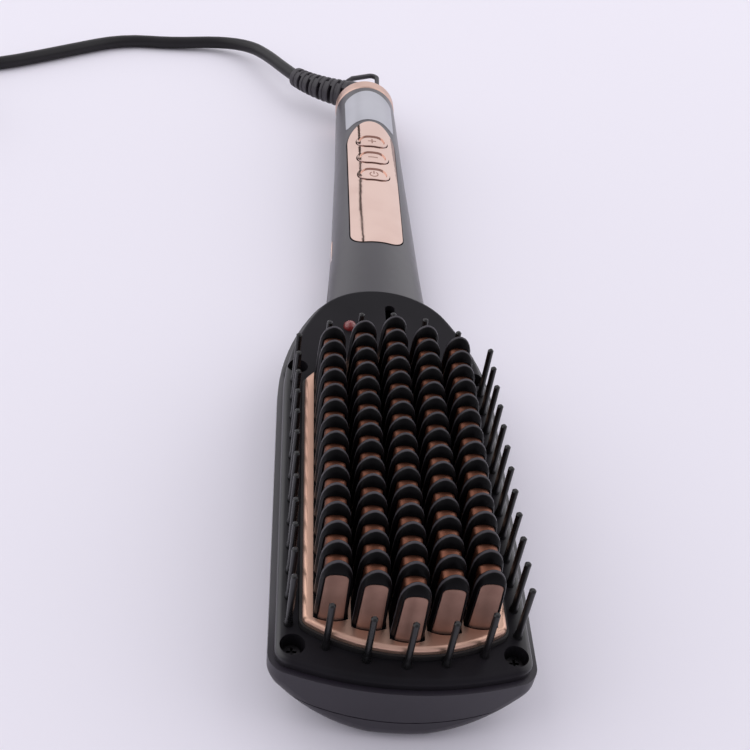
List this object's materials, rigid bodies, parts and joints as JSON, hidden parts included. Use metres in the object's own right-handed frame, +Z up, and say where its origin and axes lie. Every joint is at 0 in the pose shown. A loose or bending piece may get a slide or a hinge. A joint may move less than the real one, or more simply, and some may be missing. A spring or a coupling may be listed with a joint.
{
  "type": "hair straightener brush",
  "caption": "Heated straightening brush: finned plate under guard arches in an oval head, tapered handle with buttons, swivel cord.",
  "frame": {"origin": "on the table under the middle of the brush, without its free cord", "axes": "+Y from the head's tip to the tail, +X to the right seen from above with the tail away, +Z up out of the teeth"},
  "size_m": [0.3043, 0.377, 0.0439],
  "materials": {
    "soft_touch": "soft-touch satin, dark warm grey",
    "frame_black": "satin black",
    "arch_black": "fine matt black, heatproof",
    "seal": "matt",
    "rose_plate": "anodised, fine satin, rose gold",
    "rose_mirror": "polished rose gold",
    "heater": "plain",
    "mica": "mineral sheet",
    "sensor": "glazed",
    "lens_red": "clear dark red",
    "led": "clear",
    "steel": "plated",
    "board": "solder mask",
    "component": "moulded",
    "contact_brass": "turned",
    "gland_rubber": "satin",
    "cord_grey": "satin",
    "plug_black": "satin",
    "prong": "nickel plated"
  },
  "bodies": {
    "brush": {"back_shell": "soft_touch", "front_shell": "soft_touch", "bezel": "frame_black", "side_pins_left": "frame_black", "side_pins_right": "frame_black", "end_pins_front": "frame_black", "end_pins_rear": "frame_black", "ion_module": "frame_black", "guard_row_1": "arch_black", "guard_row_2": "arch_black", "guard_row_3": "arch_black", "guard_row_4": "arch_black", "guard_row_5": "arch_black", "plate_gasket": "seal", "heating_plate": "rose_plate", "control_panel": "rose_mirror", "tail_ring": "rose_mirror", "heater_element": "heater", "heater_tray": "heater", "mica_sheet": "mica", "thermistor": "sensor", "thermal_fuse": "sensor", "indicator_lens": "lens_red", "indicator_led": "led", "bezel_screws": "steel", "shell_screws": "steel", "pcb_screws": "steel", "tray_screws": "steel", "ion_needle": "steel", "main_pcb": "board", "tact_switches": "component", "display_module": "component", "side_switch": "component", "contact_block": "component"},
    "button_power": {"button_power": "rose_mirror"},
    "button_minus": {"button_minus": "rose_mirror"},
    "button_plus": {"button_plus": "rose_mirror"},
    "side_key": {"side_key": "rose_mirror"},
    "swivel": {"swivel_gland": "gland_rubber", "gland_retainer": "component", "slip_rings": "contact_brass", "bend_relief": "gland_rubber", "cord_tube": "cord_grey", "cord_coil": "cord_grey", "coil_tie": "plug_black", "cord_lead": "cord_grey", "plug_body": "plug_black", "plug_pins": "prong"}
  },
  "joints": [
    {"name": "button_power_press", "type": "slide", "parent": "brush", "child": "button_power", "axis": [0, 0, -1], "range_m": [0, 0.0006], "stiffness_N_per_m": 1500, "springref_m": -0.0002},
    {"name": "button_minus_press", "type": "slide", "parent": "brush", "child": "button_minus", "axis": [0, 0, -1], "range_m": [0, 0.0006], "stiffness_N_per_m": 1500, "springref_m": -0.0002},
    {"name": "button_plus_press", "type": "slide", "parent": "brush", "child": "button_plus", "axis": [0, 0, -1], "range_m": [0, 0.0006], "stiffness_N_per_m": 1500, "springref_m": -0.0002},
    {"name": "side_key_press", "type": "slide", "parent": "brush", "child": "side_key", "axis": [1, 0, 0], "range_m": [0, 0.001], "stiffness_N_per_m": 900, "springref_m": -0.0002},
    {"name": "cord_swivel", "type": "hinge", "parent": "brush", "child": "swivel", "pos_m": [0, 0.138, 0.0125], "axis": [0, 1, 0], "continuous": true}
  ]
}
